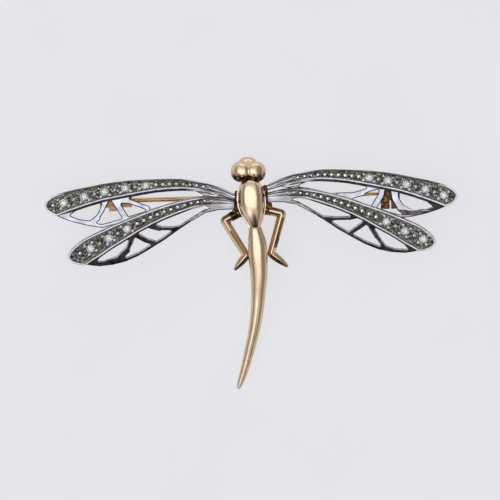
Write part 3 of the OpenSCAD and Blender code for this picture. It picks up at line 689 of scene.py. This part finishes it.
class BROOCH_OT_head(bpy.types.Operator):
    """Head: two domed eyes side by side, the face in front of them and the neck behind"""
    bl_idname = "brooch.head"
    bl_label = "Head"

    def execute(self, context):
        size = context.scene.brooch_body
        ahead_of_thorax = 0.992 * MM
        eyes = Vector((0, size.thorax_length * THORAX_AHEAD + ahead_of_thorax - MID_Y, size.back_height))
        parts = [self.dome("dome", eyes, *row) for row in EYES_AND_FACE]
        # The neck, behind the eyes, gets painted shade
        neck = self.dome("neck", eyes, *NECK)
        smoothed(neck)
        settle(neck, ["yellow_gold_recess"])
        head = joined("head", parts)
        shaped(head, "REMESH", mode="VOXEL", voxel_size=0.07 * MM)
        shaped(head, "SMOOTH", factor=0.5, iterations=30)
        smoothed(head)
        settle(head, ["yellow_gold_head"])
        return {"FINISHED"}

    def dome(self, name, eyes, aside, ahead, up, wide, long, tall, flat, lean):
        """Dome with a top flatter than a ball's by flat; lean moves its top sideways."""
        made = new_piece(name, bpy.ops.mesh.primitive_uv_sphere_add, segments=48, ring_count=32, radius=1.0)
        with edit(made):
            work = bmesh.from_edit_mesh(made.data)
            for v in work.verts:
                high = max(v.co.z, 0.0)
                fuller = math.sqrt(1 + high ** 2 * flat) / math.sqrt(1 + high ** 6 * flat * 0.3)
                v.co.x = v.co.x * fuller + lean * high ** 2
                v.co.y *= fuller
            bmesh.update_edit_mesh(made.data)
            bpy.ops.transform.resize(value=Vector((wide, long, tall)) * MM, center_override=(0, 0, 0))
            bpy.ops.transform.translate(value=eyes + Vector((aside, ahead, up)) * MM)
        return made


class BROOCH_OT_abdomen(bpy.types.Operator):
    """Abdomen: one long curved taper from the waist to the tip"""
    bl_idname = "brooch.abdomen"
    bl_label = "Abdomen"

    def execute(self, context):
        size = context.scene.brooch_body
        half_thick = size.abdomen_thickness / 2
        # The waist lies right of the brooch's middle and just inside the thorax, the tip on the table
        waist = Vector((0.65 * MM, size.thorax_length * (THORAX_AHEAD - 1) + 0.05 * MM - MID_Y,
                        size.back_height + 1.584 * MM))
        tip_z = 0.42 * half_thick
        rings = []
        for share, side, wide, thick, height in smooth_between(ABDOMEN, 3):
            half = max(thick, 0.02) * half_thick
            rings.append((waist.x + side * size.abdomen_sway, waist.y - share * size.abdomen_length,
                          max(tip_z + height * (waist.z - tip_z), half), wide * size.abdomen_width / 2, half))
        abdomen = drawn_tube("abdomen", rings, sides=20)
        shaped(abdomen, "SUBSURF", levels=2, render_levels=2)
        smoothed(abdomen)
        settle(abdomen, ["yellow_gold_polished"])
        return {"FINISHED"}


class BROOCH_OT_legs(bpy.types.Operator):
    """Legs: bent bars with a ridge along the lower leg and a tapered foot"""
    bl_idname = "brooch.legs"
    bl_label = "Legs"

    def execute(self, context):
        size = context.scene.brooch_body
        profile = self.profile(size.leg_width / 2)
        for side, leg in LEGS.items():
            sign = -1 if side == "left" else 1
            joints = self.joints(leg, size.back_height + 0.871 * MM)
            piece = self.bar("leg_" + side, joints, sign, profile)
            settle(piece, ["yellow_gold_polished", "yellow_gold_recess", "yellow_gold_crease"])
            self.stain(piece, leg, joints, sign)
            hip = joints[0] + Vector((0.35, 0.12, -0.1)) * MM
            self.block("hip_" + side, (sign * hip.x, hip.y, hip.z), (1.7, 1.9, 1.25))
            rear_end = 9.3
            middle = (rear_end + leg.block_end) / 2 * MM
            self.block("shoulder_" + side, (sign * 2.12 * MM, middle, size.back_height + 0.6 * MM),
                       (0.8, leg.block_end - rear_end, 1.2))
        bpy.data.objects.remove(profile)
        return {"FINISHED"}

    def joints(self, leg, height):
        """Hip, knee, ankle and toe of the right leg, or of the left one mirrored."""
        femur, tibia, foot = (math.radians(a) for a in (leg.femur, leg.tibia, leg.foot))
        hip = Vector((leg.hip_x * MM, leg.hip_y * MM - MID_Y, height))
        knee = hip + 2.75 * MM * Vector((math.cos(femur), -math.sin(femur), 0))
        ankle = knee + 6.2 * MM * Vector((-math.sin(tibia), -math.cos(tibia), 0))
        toe = ankle + leg.foot_length * MM * Vector((math.sin(foot), -math.cos(foot), -0.08))
        return hip, knee, ankle, toe

    def bar(self, name, joints, sign, profile):
        """Profile swept along a leg, thinner towards its toe."""
        made = new_piece(name, bpy.ops.curve.primitive_nurbs_path_add)
        curve = made.data
        curve.splines.clear()
        spline = curve.splines.new("NURBS")
        spline.points.add(len(LEG_PATH) - 1)
        for point, (bone, share, wide) in zip(spline.points, LEG_PATH):
            place = joints[bone].lerp(joints[bone + 1], share)
            point.co = (sign * place.x, place.y, place.z, 1.0)
            point.radius = wide
        spline.order_u = 3
        spline.use_endpoint_u = True
        spline.resolution_u = 8
        curve.twist_mode = "Z_UP"
        curve.bevel_mode = "OBJECT"
        curve.bevel_object = profile
        curve.use_fill_caps = True
        bpy.ops.object.convert(target="MESH")
        with edit(made):
            bpy.ops.mesh.remove_doubles(threshold=1e-7)
            bpy.ops.mesh.normals_make_consistent(inside=False)
        smoothed(made, 35)
        return made

    def profile(self, half):
        """Cross-section of a leg: rounded under, with two flats that meet in a soft ridge on top."""
        made = new_piece("leg_profile", bpy.ops.curve.primitive_bezier_circle_add, radius=1.0)
        made.data.splines.clear()
        spline = made.data.splines.new("POLY")
        outline = LEG_HALF_SECTION + [(-x, y) for x, y in reversed(LEG_HALF_SECTION)]
        spline.points.add(len(outline) - 1)
        for point, (x, y) in zip(spline.points, outline):
            point.co = (x * half, y * half, 0.0, 1.0)
        spline.use_cyclic_u = True
        return made

    def stain(self, piece, leg, joints, sign):
        """Painted shade near the hip and under the foot, and a painted dark reflection in a line along the top
        of the lower leg.
        """
        hip, knee, ankle, _ = joints
        run = (ankle - knee).normalized()
        across = Vector((-run.y, run.x, 0)) * sign
        for face in piece.data.polygons:
            spot = Vector((sign * face.center.x, face.center.y, face.center.z))
            along = (spot - knee).dot(run) / (ankle - knee).length
            aside = (spot - knee).dot(across) / MM
            in_dark_line = leg.across[0] < aside < leg.across[1] and leg.along[0] < along < leg.along[1]
            under = along > 1.0 and face.normal.y < -0.25 and (spot - ankle).length > 0.3 * MM
            if (spot - hip).length < leg.stain * MM:
                face.material_index = 1
            elif under or (in_dark_line and face.normal.z > 0.3):
                face.material_index = 2

    def block(self, name, place, sides):
        """Rough block of solder and cast metal under a wing's root, its sides in millimetres; its dark finish is
        painted shade.
        """
        block = new_piece(name, bpy.ops.mesh.primitive_cube_add, size=1.0)
        with edit(block):
            bpy.ops.transform.resize(value=Vector(sides) * MM, center_override=(0, 0, 0))
            bpy.ops.transform.translate(value=place)
            bpy.ops.mesh.bevel(offset=0.3 * MM, segments=3)
        smoothed(block, 50)
        settle(block, ["yellow_gold_recess"])


class Wing:
    """Figures of one wing in its own plane: root at the origin, tip towards +X, back at zero."""

    def __init__(self, node):
        self.node = node
        self.side = node.replace("wing", "")
        kind, self.mirrored, x, y, turn, self.count, last, pitch = WINGS[node]
        plan = KINDS[kind]
        self.fore = kind == "fore"
        self.rows, self.skirt_end = plan.rows, plan.skirt_end
        self.length, self.rise, self.band = plan.length * MM, plan.rise * MM, plan.band * MM
        self.last, self.pitch = last * MM, pitch * MM
        chord = math.atan2(self.rise, self.length)
        axis = Vector((math.cos(chord), math.sin(chord), 0))
        self.place = (Matrix.Diagonal((-1.0 if self.mirrored else 1.0, 1.0, 1.0, 1.0))
                      @ Matrix.Translation((x * MM, y * MM - MID_Y, plan.height * MM))
                      @ Matrix.Rotation(math.radians(turn), 4, "Z")
                      @ Matrix.Rotation(math.radians(plan.lean), 4, axis))
        self.ahead, self.up = (self.place.to_3x3().col[i].normalized() for i in (1, 2))

    def row_at(self, share):
        """Section at a share of the length, between the two nearest rows."""
        share = min(max(share, self.rows[0][0]), self.rows[-1][0])
        for a, b in zip(self.rows, self.rows[1:]):
            if share <= b[0]:
                t = (share - a[0]) / (b[0] - a[0])
                return tuple(p + (q - p) * t for p, q in zip(a, b))

    def middle(self, x):
        return self.row_at(x / self.length)[1] * self.rise

    def width(self, x):
        return self.row_at(x / self.length)[2] * self.band

    def turn(self, x):
        step = self.length / 50
        return math.atan2(self.middle(x + step) - self.middle(x - step), 2 * step)

    def stone(self, i):
        return self.length - self.last - (self.count - 1 - i) * self.pitch

    def grains(self, size):
        """Places and sizes of the setting grains: (x, y, turn, diameter)."""
        grain_width, rim = size.grain_width, size.rim_width
        # Distance of a grain from the middle of its stone, and of one grain from the next at the root
        reach = 0.68 * size.stone_width
        pitch = 1.02 * MM
        out = []

        def put(x, wide, dx=0.0, dy=0.0):
            a = self.turn(x)
            out.append((x + dx * math.cos(a) - dy * math.sin(a),
                        self.middle(x) + dx * math.sin(a) + dy * math.cos(a), a, wide))

        for i in range(self.count):
            x = self.stone(i)
            half = min(self.width(x) / 2 - rim - grain_width * 0.45, reach * 0.75)
            along = math.sqrt(reach * reach - half * half)
            for a in (-1, 1):
                for b in (-1, 1):
                    put(x, grain_width, a * along, b * half)
            if i < self.count - 1:
                put((x + self.stone(i + 1)) / 2, grain_width)
        last = self.stone(self.count - 1)
        tip = min(last + reach + grain_width, self.length * 0.965)
        if tip - last > reach + grain_width * 0.8:
            put(tip, grain_width)
        first = self.stone(0) - reach - grain_width * 0.9
        for k in range(int((first - self.length * 0.1) / pitch) + 1):
            x = first - k * pitch
            put(x, min(grain_width * 1.2, (self.width(x) - 2 * rim) * 0.74))
        return out

    def outlines(self, height, name):
        """Flat curve through the CAD wing at a height above its back, in the wing's own plane."""
        piece = copy_of(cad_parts[self.node], name)
        piece.data.transform(self.place.inverted())
        with edit(piece):
            bpy.ops.mesh.remove_doubles(threshold=2e-6)
            bpy.ops.mesh.bisect(plane_co=(0, 0, height), plane_no=(0, 0, 1), use_fill=False,
                                clear_inner=True, clear_outer=True)
        bpy.ops.object.convert(target="CURVE")
        piece.data.dimensions = "2D"
        piece.data.fill_mode = "BOTH"
        return piece

    def plate(self, name, cut, low, high, edge):
        """Plate with rounded edges from the CAD wing's outlines at one height."""
        piece = self.outlines(cut, name)
        piece.data.offset = -edge
        piece.data.bevel_depth = edge
        piece.data.bevel_resolution = 2
        piece.data.extrude = (high - low) / 2 - edge
        lone(piece)
        bpy.ops.object.convert(target="MESH")
        with edit(piece):
            bpy.ops.mesh.remove_doubles(threshold=1e-6)
        piece.data.transform(Matrix.Translation((0, 0, (low + high) / 2)))
        return piece

    def set_down(self, piece):
        """Charts a piece along its wing, then moves it from the wing's own plane to its place."""
        mesh = piece.data
        while mesh.uv_layers:
            mesh.uv_layers.remove(mesh.uv_layers[0])
        chart = mesh.uv_layers.new(name="band")
        for loop in mesh.loops:
            spot = mesh.vertices[loop.vertex_index].co
            chart.data[loop.index].uv = (spot.x, spot.y - self.middle(spot.x))
        from_root = mesh.attributes.new("from_root", "FLOAT", "POINT")
        to_rim = mesh.attributes.new("to_rim", "FLOAT", "POINT")
        for v in mesh.vertices:
            from_root.data[v.index].value = v.co.x / self.length
            to_rim.data[v.index].value = (v.co.y - self.middle(v.co.x)) / (self.width(v.co.x) / 2)
        mesh.transform(self.place)
        with edit(piece):
            bpy.ops.mesh.normals_make_consistent(inside=False)


def crisp_flats(piece, up):
    """Flat faces get the first finish and stay flat; rounded edges get the second and are smooth, so
    a lit and a shaded finish paint light and shade by which way a face points.
    """
    smoothed(piece)
    with edit(piece):
        pick(piece, "FACE", lambda face: abs(face.normal.dot(up)) > 0.999)
        bpy.ops.mesh.region_to_loop()
        bpy.ops.mesh.mark_sharp()
    for face in piece.data.polygons:
        face.material_index = 0 if face.normal.dot(up) > 0.999 else 1


def faces_along(piece):
    """Each face with its place along the wing and across it, as charted."""
    share, side = (piece.data.attributes[name].data for name in ("from_root", "to_rim"))
    for face in piece.data.polygons:
        corner = face.vertices[0]
        yield face, share[corner].value, side[corner].value


class BROOCH_OT_wings(bpy.types.Operator):
    """Wings: pierced blade with its veins, skirt, engraved channel floor and two rims"""
    bl_idname = "brooch.wings"
    bl_label = "Wings"

    def execute(self, context):
        size = context.scene.brooch_wings
        for node in WINGS:
            wing = Wing(node)
            self.blade(wing, size.blade_thickness)
            self.skirt(wing)
            self.rims(wing, size.rim_height)
            self.channel_floor(wing, size.floor_height)
        return {"FINISHED"}

    def blade(self, wing, thickness):
        """Pierced blade with painted light and shade by which way each face points: lit flats and shaded
        edges on a forewing, darker at its tip, and a painted dark reflection on a hindwing's flats with
        painted highlights on its trailing edges.
        """
        blade = wing.plate("blade_" + wing.side, cut=0.4 * MM, low=0.0, high=thickness, edge=0.14 * MM)
        wing.set_down(blade)
        metals = ["white_gold_darkened", "white_gold_bright"]
        if wing.fore:
            metals = ["white_gold_bright", "white_gold_shaded", "white_gold_darkened"]
        settle(blade, metals, wing.node)
        crisp_flats(blade, wing.up)
        tip, shaded_to = (0.885 if wing.mirrored else 0.82), 0.82
        for face, share, side in faces_along(blade):
            facing = face.normal.dot(wing.ahead)
            trailing = not wing.mirrored and share > 0.69 and side < -2.6
            if wing.fore and (trailing or share > tip):
                face.material_index = 0 if facing > 0.15 else 1 if share < shaded_to else 2
            elif not wing.fore and facing < -0.15 and share > 0.3:
                face.material_index = 0

    def rims(self, wing, height):
        """Two rims of the channel: painted shade on the walls, and a painted dark reflection on top along a
        forewing's leading rim.
        """
        rims = wing.plate("rims_" + wing.side, cut=1.40 * MM, low=0.9 * MM, high=height, edge=0.08 * MM)
        wing.set_down(rims)
        metals = ["white_gold_rim", "white_gold_rim", "white_gold_darkened", "white_gold_dull"]
        settle(rims, metals, wing.node)
        crisp_flats(rims, wing.up)
        for face, share, side in faces_along(rims):
            if abs(face.normal.dot(wing.up)) < 0.2:
                face.material_index = 2
            elif wing.fore and side > 0.4 and share < 0.93:
                face.material_index = 3

    def skirt(self, wing):
        """Step under the lower rim, which dies away at the tip; its dark finish is painted shade."""
        rows = []
        for share, height, wide in smooth_between(wing.rows, 3):
            if share <= wing.skirt_end:
                low = height * wing.rise - wide * wing.band / 2
                out = 0.3 * MM * min(1.0, (wing.skirt_end - share) / 0.08, 0.3 + 2.2 * share)
                inner = 0.3 * wide * wing.band
                rows.append((share * wing.length, low + (inner - out) / 2, 0.93 * MM, (inner + out) / 2))
        skirt = thickened(drawn_strip("skirt_" + wing.side, rows, 2, "y"), 0.15 * MM, edge=0.03 * MM)
        wing.set_down(skirt)
        settle(skirt, ["white_gold_darkened"], wing.node)

    def channel_floor(self, wing, height):
        """Floor between the rims, with a drilled seat for each stone."""
        inside_rim, least = 0.06 * MM, 0.02 * MM
        rows = []
        for share, middle, wide in smooth_between(wing.rows, 3):
            half = max(wide * wing.band / 2 - inside_rim, least)
            rows.append((share * wing.length, middle * wing.rise, height, half))
        floor = thickened(drawn_strip("channel_" + wing.side, rows, 8, "y"), 0.12 * MM)
        for i in range(wing.count):
            x = wing.stone(i)
            drill = new_piece("drill", bpy.ops.mesh.primitive_cone_add, vertices=24, radius1=0.25 * MM,
                              radius2=0.74 * MM, depth=0.6 * MM, location=(x, wing.middle(x), height - 0.1 * MM))
            shaped(floor, "BOOLEAN", operation="DIFFERENCE", object=drill, solver="EXACT")
            bpy.data.objects.remove(drill)
        wing.set_down(floor)
        settle(floor, ["channel_floor_oxidised"], wing.node)


class BROOCH_OT_grains(bpy.types.Operator):
    """Grains: rounded beads raised from the channel floor that hold the stones"""
    bl_idname = "brooch.grains"
    bl_label = "Grains"

    def execute(self, context):
        size = context.scene.brooch_wings
        model = new_piece("model", bpy.ops.mesh.primitive_uv_sphere_add, segments=10, ring_count=6, radius=1.0)
        with edit(model):
            bpy.ops.mesh.bisect(plane_co=(0, 0, -0.3), plane_no=(0, 0, 1), use_fill=True, clear_inner=True)
        smoothed(model)
        for node in WINGS:
            wing = Wing(node)
            beads = []
            for x, y, turn, wide in wing.grains(size):
                bead = copy_of(model, "bead")
                bead.data.transform(Matrix.Translation((x, y, size.floor_height)) @ Matrix.Rotation(turn, 4, "Z")
                                    @ Matrix.Diagonal((wide / 2, wide / 2, wide * 0.30, 1.0)))
                beads.append(bead)
            row = joined("grains_" + wing.side, beads)
            wing.set_down(row)
            settle(row, ["white_gold_grain"], node)
        bpy.data.objects.remove(model)
        return {"FINISHED"}


class BROOCH_OT_diamonds(bpy.types.Operator):
    """Diamonds: brilliant-cut stones with table, star, kite, girdle and pavilion facets"""
    bl_idname = "brooch.diamonds"
    bl_label = "Diamonds"

    def execute(self, context):
        size = context.scene.brooch_wings
        culet = size.floor_height - 0.5208 * MM
        turn_of_next = 0.7
        model = self.brilliant()
        for node in WINGS:
            wing = Wing(node)
            for i in range(wing.count):
                x = wing.stone(i)
                name = "diamond_%s_%d" % (wing.side, i + 1)
                stone = copy_of(model, "cut_" + name)
                stone.data.transform(wing.place @ Matrix.Translation((x, wing.middle(x), culet))
                                     @ Matrix.Rotation(wing.turn(x) + i * turn_of_next, 4, "Z")
                                     @ Matrix.Scale(size.stone_width, 4))
                with edit(stone):
                    bpy.ops.mesh.normals_make_consistent(inside=False)
                settle(stone, ["diamond_cut"], name)
        bpy.data.objects.remove(model)
        return {"FINISHED"}

    def brilliant(self):
        """Stone of width 1, culet at the origin, from rings of points wrapped in one hull."""
        parts = []
        for sides, radius, height, turn in BRILLIANT:
            parts.append(new_piece("ring", bpy.ops.mesh.primitive_circle_add, vertices=sides, radius=radius,
                                   location=(0, 0, height), rotation=(0, 0, math.radians(turn))))
        stone = joined("brilliant", parts)
        bpy.ops.object.transform_apply(location=True, rotation=True, scale=True)
        with edit(stone):
            bpy.ops.mesh.convex_hull()
            bpy.ops.mesh.select_all(action="SELECT")
            bpy.ops.mesh.dissolve_limited(angle_limit=math.radians(1))
        return stone


class BROOCH_OT_finding(bpy.types.Operator):
    """Finish of the pin, its hinge and its catch"""
    bl_idname = "brooch.finding"
    bl_label = "Pin finding"

    def execute(self, context):
        # The catch, under a wing, gets painted shade
        metals = {"hinge_base": "finding_gold_satin", "hinge_rivet": "finding_gold_satin",
                  "pin_stem": "finding_gold_rubbed", "catch_body": "yellow_gold_recess"}
        for node, metal in metals.items():
            finish_with(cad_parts[node].data, metal)
        return {"FINISHED"}


class BROOCH_OT_stage(bpy.types.Operator):
    """Stage: pale lit sheet, soft studio light and a camera looking straight down"""
    bl_idname = "brooch.stage"
    bl_label = "Stage"

    def execute(self, context):
        size = context.scene.brooch_stage
        sheet = new_piece("sheet", bpy.ops.mesh.primitive_plane_add, size=size.floor_size, location=(0, 0, 0))
        finish_with(sheet.data, "backdrop_sheet")
        self.soft_light("overhead", place=(-0.10, 0.02, 0.6), sides=(0.48, 0.93), power=1.22)
        self.soft_light("front", place=(-0.155, -0.434, 0.527), sides=(0.28, 0.40), power=0.30)
        self.surroundings(context.scene)
        aim = Vector((-0.17, 3.40, 4.0)) * MM
        camera = new_piece("camera", bpy.ops.object.camera_add, rotation=(0, 0, 0),
                           location=aim + Vector((0, 0, size.camera_height)))
        camera.data.sensor_width = 36.0
        camera.data.lens = camera.data.sensor_width * size.camera_height / size.frame_width
        camera.data.clip_start = 0.01
        context.scene.camera = camera
        context.scene.view_settings.view_transform = "Standard"
        return {"FINISHED"}

    def soft_light(self, name, place, sides, power):
        """Oval lamp that faces the brooch."""
        lamp = new_piece(name, bpy.ops.object.light_add, type="AREA", location=place)
        lamp.data.shape = "ELLIPSE"
        lamp.data.size, lamp.data.size_y = sides
        lamp.data.energy = power
        lamp.data.color = linear("E3EDFF")[:3]
        lamp.rotation_euler = (-Vector(place)).to_track_quat("-Z", "Y").to_euler()

    def surroundings(self, scene):
        """Pale room that the metal mirrors."""
        world = bpy.data.worlds.new("studio")
        world.use_nodes = True
        tree = world.node_tree
        soft = {"interpolation_type": "SMOOTHSTEP"}
        way = add_node(tree, "SeparateXYZ", {"Vector": add_node(tree, "TexCoord").outputs["Generated"]}).outputs
        # Bright overhead and low down, greyer at the sides between them
        aside = add_node(tree, "Math", {0: way["X"], 1: 0.12}, operation="ADD")
        aside = add_node(tree, "Math", {0: aside}, operation="ABSOLUTE")
        across = add_node(tree, "MapRange", {"Value": aside, "From Min": 0.66, "From Max": 0.46}, **soft)
        ahead = add_node(tree, "MapRange", {"Value": way["Y"], "From Min": 0.82, "From Max": 0.62}, **soft)
        over = add_node(tree, "Math", {0: across, 1: ahead}, operation="MULTIPLY")
        low = add_node(tree, "MapRange", {"Value": way["Z"], "From Min": 0.35, "From Max": 0.0}, **soft)
        lit = add_node(tree, "Math", {0: over, 1: low}, operation="MAXIMUM")
        room = add_node(tree, "ValToRGB", {"Fac": lit}, [(0.0, "89827E"), (1.0, "D6D6DA")])
        # White beyond the head
        far = add_node(tree, "MapRange", {"Value": way["Y"], "From Min": 0.74, "From Max": 0.88}, **soft)
        room = add_node(tree, "Mix", {"Factor": far, "A": room, "B": linear("FFFFFF")}, data_type="RGBA")
        # Dark wedge beyond the tail, wider towards the horizon
        down = add_node(tree, "MapRange", {"Value": way["Y"], "From Min": -0.35, "From Max": -0.90})
        reach = add_node(tree, "Math", {0: down, 1: 3.0}, operation="POWER")
        beside = add_node(tree, "Math", {0: way["X"], 1: -0.08}, operation="ADD")
        beside = add_node(tree, "Math", {0: beside}, operation="ABSOLUTE")
        wedge = add_node(tree, "Math", {0: beside, 1: reach}, operation="SUBTRACT")
        narrow = add_node(tree, "MapRange", {"Value": wedge, "From Min": 0.03, "From Max": -0.07}, **soft)
        front = add_node(tree, "MapRange", {"Value": way["Y"], "From Min": -0.50, "From Max": -0.60}, **soft)
        dark = add_node(tree, "Math", {0: narrow, 1: front}, operation="MULTIPLY")
        colour = add_node(tree, "Mix", {"Factor": dark, "A": room, "B": linear("120D0A")}, data_type="RGBA")
        fill(tree, tree.nodes["Background"], {"Color": colour, "Strength": 1.35})
        scene.world = world


class BROOCH_PT_panel(bpy.types.Panel):
    """Lists the pieces of the brooch"""
    bl_idname = "BROOCH_PT_panel"
    bl_label = "Dragonfly Brooch"
    bl_space_type = "VIEW_3D"
    bl_region_type = "UI"
    bl_category = "Brooch"

    def draw(self, context):
        for group in (context.scene.brooch_body, context.scene.brooch_wings, context.scene.brooch_stage):
            box = self.layout.box()
            for name in group.__annotations__:
                box.prop(group, name)
        for operator in STEPS:
            self.layout.operator(operator.bl_idname)


GROUPS = {"brooch_body": BroochBody, "brooch_wings": BroochWings, "brooch_stage": BroochStage}
STEPS = (BROOCH_OT_thorax, BROOCH_OT_head, BROOCH_OT_abdomen, BROOCH_OT_legs, BROOCH_OT_wings,
         BROOCH_OT_grains, BROOCH_OT_diamonds, BROOCH_OT_finding, BROOCH_OT_stage)


def register():
    for kind in (*GROUPS.values(), *STEPS, BROOCH_PT_panel):
        bpy.utils.register_class(kind)
    for name, kind in GROUPS.items():
        setattr(bpy.types.Scene, name, PointerProperty(type=kind))


def unregister():
    for name in GROUPS:
        delattr(bpy.types.Scene, name)
    for kind in (BROOCH_PT_panel, *STEPS, *GROUPS.values()):
        bpy.utils.unregister_class(kind)


def main():
    register()
    bpy.ops.brooch.thorax()
    bpy.ops.brooch.head()
    bpy.ops.brooch.abdomen()
    bpy.ops.brooch.legs()
    bpy.ops.brooch.wings()
    bpy.ops.brooch.grains()
    bpy.ops.brooch.diamonds()
    bpy.ops.brooch.finding()
    bpy.ops.brooch.stage()


if __name__ == "__main__":
    main()
